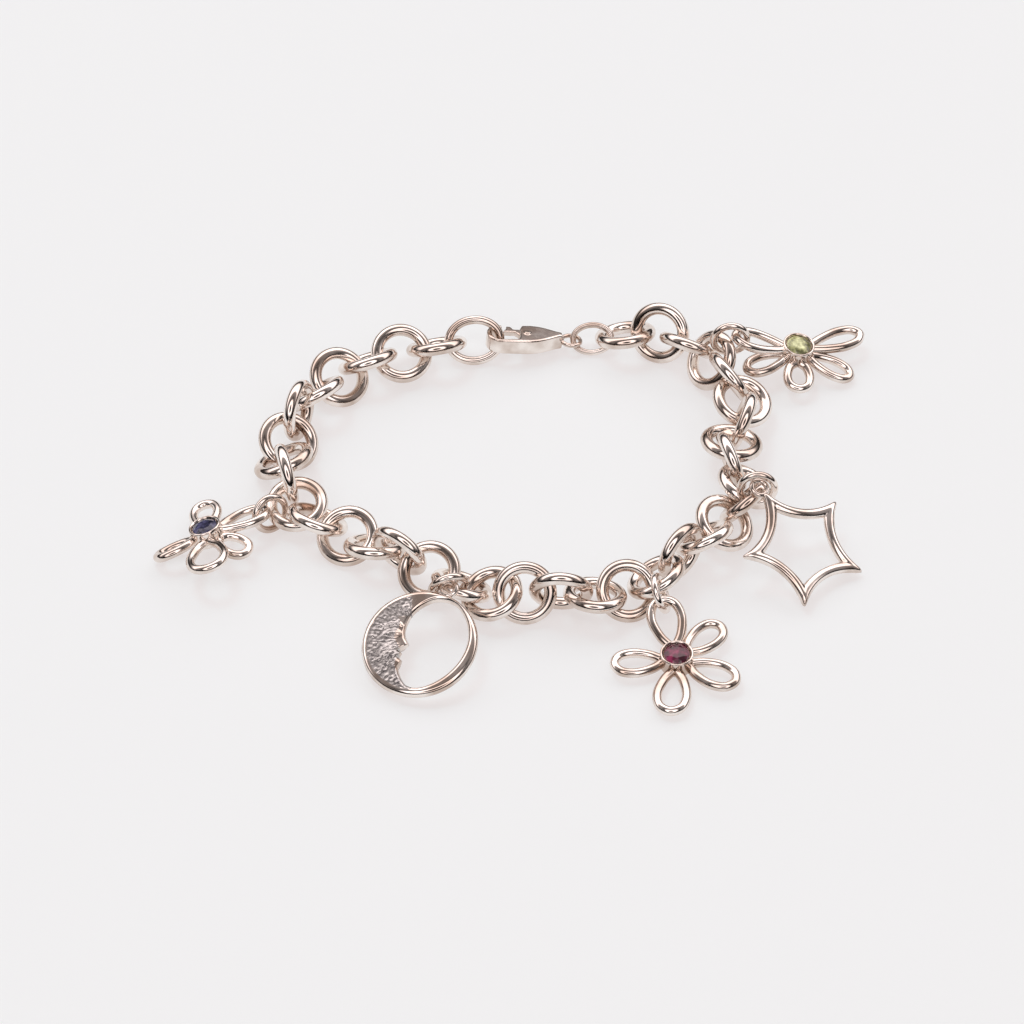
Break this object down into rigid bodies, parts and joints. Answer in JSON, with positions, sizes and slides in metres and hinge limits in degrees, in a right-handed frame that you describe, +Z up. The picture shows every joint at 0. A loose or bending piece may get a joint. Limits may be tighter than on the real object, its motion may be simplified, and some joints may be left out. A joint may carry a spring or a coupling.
{
  "type": "charm bracelet",
  "caption": "Silver charm bracelet of round cable links with a lobster clasp, a crescent moon, a hollow star, wire flowers and a butterfly set with cut stones.",
  "frame": {"origin": "middle of the bounding box on the surface that the bracelet lies on", "axes": "+Z up from the surface; -Y toward the viewer of the picture, where the moon and the pink flower lie; +X toward the star and the butterfly"},
  "size_m": [0.0874, 0.065, 0.009],
  "materials": {
    "silver": "polished",
    "stone_pink": "polished",
    "stone_blue": "polished",
    "stone_green": "polished"
  },
  "bodies": {
    "bracelet": {"link_01": "silver", "link_02": "silver", "link_03": "silver", "link_04": "silver", "link_05": "silver", "link_06": "silver", "link_07": "silver", "link_08": "silver", "link_09": "silver", "link_10": "silver", "link_11": "silver", "link_12": "silver", "link_13": "silver", "link_14": "silver", "link_15": "silver", "link_16": "silver", "link_17": "silver", "link_18": "silver", "link_19": "silver", "link_20": "silver", "link_21": "silver", "link_22": "silver", "link_23": "silver", "link_24": "silver", "link_25": "silver", "link_26": "silver", "link_27": "silver", "link_28": "silver", "link_29": "silver", "link_30": "silver", "link_31": "silver", "link_32": "silver", "link_33": "silver", "link_34": "silver", "link_35": "silver", "link_36": "silver", "end_ring": "silver", "small_ring": "silver", "clasp_body": "silver", "moon": "silver", "star": "silver", "flower_pink": "silver", "flower_blue": "silver", "butterfly": "silver", "jump_ring_blue": "silver", "jump_ring_moon": "silver", "jump_ring_pink": "silver", "jump_ring_star": "silver", "jump_ring_green": "silver", "stone_flower_pink": "stone_pink", "stone_flower_blue": "stone_blue", "stone_butterfly": "stone_green"},
    "lever": {"clasp_lever": "silver"}
  },
  "joints": [
    {"name": "clasp_lever_hinge", "type": "hinge", "parent": "bracelet", "child": "lever", "pos_m": [0.0014, 0.0284, 0.0021], "axis": [0.1042, 0.2194, 0.9701], "range_deg": [0, 16], "stiffness_Nm_per_rad": 0.002, "springref_deg": -20.05}
  ]
}
